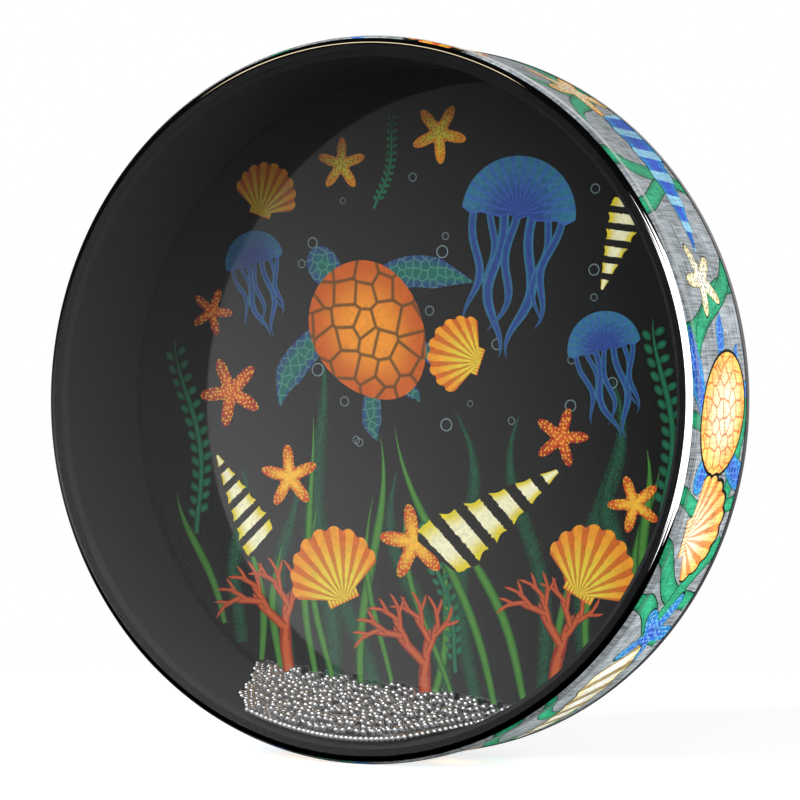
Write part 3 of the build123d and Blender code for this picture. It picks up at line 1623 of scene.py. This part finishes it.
def towards(azimuth: float, elevation: float) -> Vector:
    """Direction from the drum, in degrees from the front towards +X and from level up."""
    turn, tilt = math.radians(azimuth), math.radians(elevation)
    return Vector((math.sin(turn) * math.cos(tilt), -math.cos(turn) * math.cos(tilt), math.sin(tilt)))


@dataclass(frozen=True)
class Lamp:
    """One soft lamp that points at the drum."""

    name: str
    place: Vector
    size: Point
    power: float
    colour: Colour = WHITE

    def hang(self) -> bpy.types.Object:
        """Hang the lamp where neither the camera nor the clear film shows it.

        Returns:
            The lamp.
        """
        data = bpy.data.lights.new(self.name, "AREA")
        data.shape = "RECTANGLE"
        data.size, data.size_y = self.size
        data.energy, data.color = self.power, self.colour
        lamp = bpy.data.objects.new(self.name, data)
        lamp.location = self.place
        lamp.rotation_euler = (-self.place).to_track_quat("-Z", "Y").to_euler()
        lamp.visible_camera = False
        lamp.visible_transmission = False
        bpy.context.scene.collection.objects.link(lamp)
        return lamp


@dataclass
class Studio:
    """Camera, lamps, floor and surround."""

    azimuth: float = 26.96
    elevation: float = -0.17
    distance: float = 1.4024
    lens: float = 147.84
    sensor: float = 36.0
    aim_right: float = 0.00447
    floor_size: float = 0.5
    floor_glow: float = 0.7
    surround: float = 0.19
    mirror_level: float = 0.06
    mirror_window: float = 1.38
    mirror_overhead: float = 4.2
    mirror_glow: float = 0.9
    panel_distance: float = 1.6
    panel_glow: float = 170.0
    top_glow: float = 75.0
    top_colour: Colour = (1.0, 0.82, 0.55)

    def camera(self) -> None:
        """Put the camera where the photograph was taken."""
        back = towards(self.azimuth, self.elevation)
        right = towards(self.azimuth + 90, 0)
        data = bpy.data.cameras.new("camera")
        data.lens, data.sensor_width = self.lens, self.sensor
        camera = bpy.data.objects.new("camera", data)
        camera.location = right * self.aim_right + back * self.distance
        camera.rotation_euler = (-back).to_track_quat("-Z", "Y").to_euler()
        bpy.context.scene.collection.objects.link(camera)
        bpy.context.scene.camera = camera

    def lamps(self) -> None:
        """Hang the lamps that light the drum, which nothing mirrors."""
        for lamp in (
            Lamp("key_lamp", towards(-31, 28) * 2.0, (0.8, 0.8), 34.0),
            Lamp("side_lamp", Vector((1.5, -0.15, 0.35)), (0.9, 1.3), 15.0),
            Lamp("low_lamp", towards(95, -28) * 1.6, (0.9, 0.9), 17.0),
        ):
            lamp.hang().visible_glossy = False

    def panels(self, film: bpy.types.Object) -> None:
        """Hang the panels that the bend of the clear film mirrors.

        Args:
            film: Bend of the clear film, which alone takes light from them.
        """
        lit = bpy.data.collections.new("panel_lit")
        lit.objects.link(film)
        for name, azimuth, elevation, size, glow, colour in (
            ("near_panel", -12, 1, (0.52, 0.40), self.panel_glow, WHITE),
            ("right_panel", 11, 2, (0.80, 0.85), self.panel_glow, WHITE),
            ("far_panel", 43, 4, (1.05, 1.55), self.panel_glow, WHITE),
            ("top_panel", -30, 30, (0.90, 0.22), self.top_glow, self.top_colour),
        ):
            place = towards(azimuth, elevation) * self.panel_distance
            panel = Lamp(name, place, size, glow * size[0] * size[1], colour).hang()
            panel.visible_diffuse = False
            panel.light_linking.receiver_collection = lit

    def world(self) -> None:
        """White behind the drum, and a dim room with a window on the left for what mirrors it."""
        world = bpy.data.worlds.new("room")
        world.use_nodes = True
        bpy.context.scene.world = world
        nodes = Nodes(world.node_tree)
        path = nodes.add("LightPath").outputs
        x, y, z = nodes.add("SeparateXYZ", {0: nodes.add("TexCoord").outputs["Generated"]}).outputs
        front = nodes.ramp(y, -0.5, 0.0, 1.0, 0.0)
        window = nodes.ramp(x, -0.37, -0.64, 0.01, 1.3, "LINEAR")
        sill = nodes.ramp(z, 0.15, -0.08, 0.0, self.mirror_window, "LINEAR")
        for share in (sill, nodes.ramp(z, -0.28, -0.13), front):
            window = nodes.times(window, share)
        leftward = nodes.ramp(x, 0.35, -0.25, 0.2, self.mirror_overhead)
        overhead = nodes.times(nodes.ramp(z, 0.25, 0.55), leftward)
        glow = nodes.times(nodes.ramp(x, -0.30, -0.12), nodes.ramp(z, -0.10, 0.25, 0.25, self.mirror_glow))
        overhead = nodes.times(nodes.maths("MAXIMUM", overhead, glow), front)
        overhead = nodes.times(overhead, path["Is Transmission Ray"])
        behind = nodes.times(nodes.ramp(y, 0.55, 0.90), nodes.ramp(z, -0.55, 0.35, 0.1, 0.9))
        mirror = nodes.ramp(z, -0.45, -0.05, 0.0, self.mirror_level)
        for light in (window, overhead, behind):
            mirror = nodes.maths("MAXIMUM", mirror, light)
        mirrored = nodes.maths("MAXIMUM", path["Is Glossy Ray"], path["Is Transmission Ray"])
        room = nodes.out("Mix", {0: mirrored, 2: self.surround, 3: mirror})
        strength = nodes.out("Mix", {0: path["Is Camera Ray"], 2: room, 3: 1.0})
        nodes.fill(world.node_tree.nodes["Background"], {"Strength": strength, "Color": opaque(WHITE)})

    def floor(self) -> None:
        """Lay a pale floor under the drum."""
        bm = bmesh.new()
        bmesh.ops.create_circle(bm, cap_ends=True, segments=96, radius=self.floor_size)
        bmesh.ops.translate(bm, verts=bm.verts[:], vec=(0, 0, CAD_BOX[0].z))
        mesh = new_mesh("floor", bm)
        plain = {"Base Color": opaque((0.8, 0.8, 0.8)), "Roughness": 0.9, "Emission Color": opaque(WHITE)}
        material, nodes, shader = new_material("pale_floor", plain)
        seen = nodes.add("LightPath").outputs["Is Camera Ray"]
        nodes.fill(shader, {"Emission Strength": nodes.times(seen, self.floor_glow)})
        mesh.materials.append(material)
        floor = bpy.data.objects.new("floor", mesh)
        floor.visible_glossy = False
        floor.visible_shadow = False
        floor.visible_transmission = False
        bpy.context.scene.collection.objects.link(floor)

    def build(self, film: bpy.types.Object) -> None:
        """Set up the whole studio.

        Args:
            film: Bend of the clear film.
        """
        bpy.context.scene.view_settings.view_transform = "Standard"
        self.camera()
        self.world()
        self.floor()
        self.lamps()
        self.panels(film)


def main() -> None:
    """Build the drum's looks and the studio."""
    logging.basicConfig(level=logging.INFO, format="%(message)s")
    sizes = DrumSizes.from_frame()
    effects = Effects.build()
    adhesive, black_film, bonded_film = (
        finish.material(effects) for finish in (
            Lacquer("bond_black", (0.009, 0.0092, 0.01), 0.6, grain_scale=300.0, grain_depth=0.1, ior=1.05),
            Lacquer("black_film", (0.005, 0.005, 0.0054), 0.06, grain_scale=1400.0, grain_depth=0.5, ior=1.9),
            Lacquer("bonded_film", (0.0, 0.0, 0.0), 0.04, grain_scale=900.0, grain_depth=0.3, ior=1.5),
        )
    )
    Shell(sizes, effects).build()
    Wrap(sizes, effects).build()
    Head(sizes, Side.REAR, black_film, black_film, adhesive, Slot.PRINT).build()
    HeadPrint(sizes, effects).build()
    film = Head(sizes, Side.FRONT, ClearFilm().material(), bonded_film, adhesive, Slot.CLEAR).build()
    BeadCharge(sizes).build()
    Studio().build(film)


if __name__ == "__main__":
    main()
